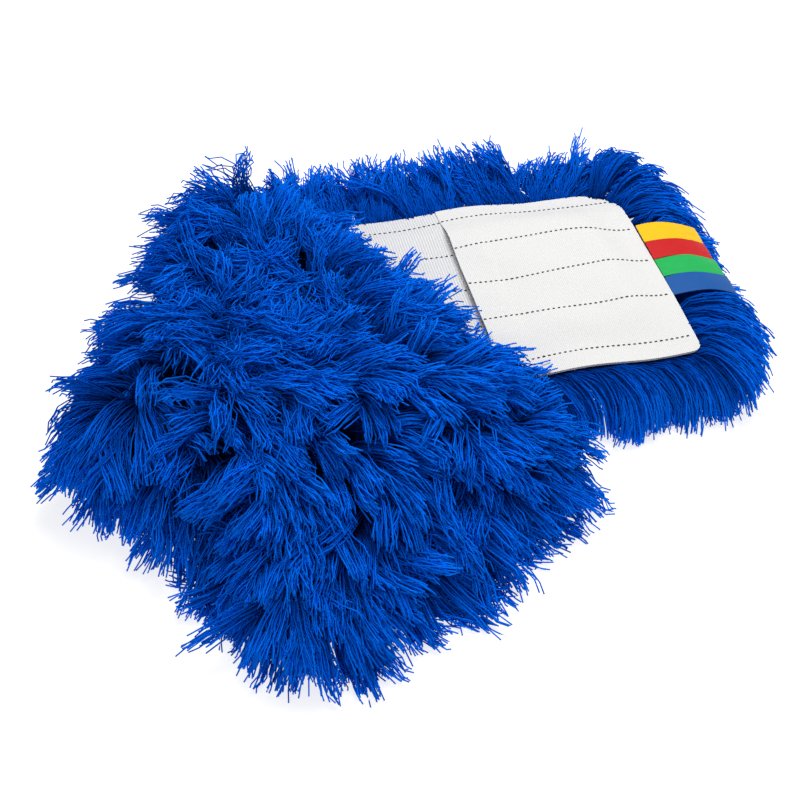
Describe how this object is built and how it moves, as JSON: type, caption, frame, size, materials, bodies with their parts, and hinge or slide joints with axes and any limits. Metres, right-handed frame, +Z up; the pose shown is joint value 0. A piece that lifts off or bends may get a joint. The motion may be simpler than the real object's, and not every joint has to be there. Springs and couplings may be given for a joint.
{
  "type": "dust mop sleeve",
  "caption": "Cut-yarn dust mop sleeve, folded over on the slant: canvas backing with an end pocket for a mop frame, rows of yarn with a deep fringe, and ribbon tags at one end.",
  "frame": {"origin": "on the floor, at the middle of the mop's outline seen from above, as it lies folded", "axes": "+X along the lower half towards its tagged end, +Y across it towards the fold's far end, +Z up"},
  "size_m": [0.4216, 0.38, 0.082],
  "materials": {
    "canvas": "white woven cotton canvas with a fine rib",
    "yarn": "royal blue plied yarn, cut ends, matt with a soft sheen",
    "stitching": "dark grey sewing thread in a lockstitch",
    "ribbon_yellow": "satin ribbon",
    "ribbon_red": "satin ribbon",
    "ribbon_green": "satin ribbon",
    "ribbon_blue": "satin ribbon"
  },
  "bodies": {
    "lower_half": {"lower_backing": "canvas", "lower_pocket_panel": "canvas", "lower_pocket_hem": "canvas", "lower_stitch_row_1": "stitching", "lower_stitch_row_2": "stitching", "lower_stitch_row_3": "stitching", "lower_stitch_row_4": "stitching", "lower_stitch_row_5": "stitching", "lower_pocket_stitch_1": "stitching", "lower_pocket_stitch_2": "stitching", "lower_pocket_stitch_3": "stitching", "lower_pocket_stitch_4": "stitching", "lower_pocket_stitch_5": "stitching", "lower_yarn_row_1": "yarn", "lower_yarn_row_2": "yarn", "lower_yarn_row_3": "yarn", "lower_yarn_row_4": "yarn", "lower_yarn_row_5": "yarn", "lower_end_fringe": "yarn", "fold_backing": "canvas", "fold_yarn": "yarn"},
    "folded_half": {"folded_backing": "canvas", "folded_pocket_panel": "canvas", "folded_pocket_hem": "canvas", "folded_stitch_row_1": "stitching", "folded_stitch_row_2": "stitching", "folded_stitch_row_3": "stitching", "folded_stitch_row_4": "stitching", "folded_stitch_row_5": "stitching", "folded_pocket_stitch_1": "stitching", "folded_pocket_stitch_2": "stitching", "folded_pocket_stitch_3": "stitching", "folded_pocket_stitch_4": "stitching", "folded_pocket_stitch_5": "stitching", "folded_yarn_row_1": "yarn", "folded_yarn_row_2": "yarn", "folded_yarn_row_3": "yarn", "folded_yarn_row_4": "yarn", "folded_yarn_row_5": "yarn", "folded_end_fringe": "yarn"},
    "tag_yellow": {"tag_yellow": "ribbon_yellow"},
    "tag_red": {"tag_red": "ribbon_red"},
    "tag_green": {"tag_green": "ribbon_green"},
    "tag_blue": {"tag_blue": "ribbon_blue"}
  },
  "joints": [
    {"name": "fold", "type": "hinge", "parent": "lower_half", "child": "folded_half", "pos_m": [-0.11016, 0.05405, 0.038], "axis": [-0.515, -0.8572, 0], "range_deg": [0, 179], "deforming": ["fold_backing", "fold_yarn"]},
    {"name": "tag_yellow_flap", "type": "hinge", "parent": "lower_half", "child": "tag_yellow", "pos_m": [0.15464, 0.07925, 0.0343], "axis": [0, -1, 0], "range_deg": [0, 150]},
    {"name": "tag_red_flap", "type": "hinge", "parent": "lower_half", "child": "tag_red", "pos_m": [0.15464, 0.06245, 0.0343], "axis": [0, -1, 0], "range_deg": [0, 150]},
    {"name": "tag_green_flap", "type": "hinge", "parent": "lower_half", "child": "tag_green", "pos_m": [0.15464, 0.04565, 0.0343], "axis": [0, -1, 0], "range_deg": [0, 150]},
    {"name": "tag_blue_flap", "type": "hinge", "parent": "lower_half", "child": "tag_blue", "pos_m": [0.15464, 0.02885, 0.0343], "axis": [0, -1, 0], "range_deg": [0, 150]}
  ]
}
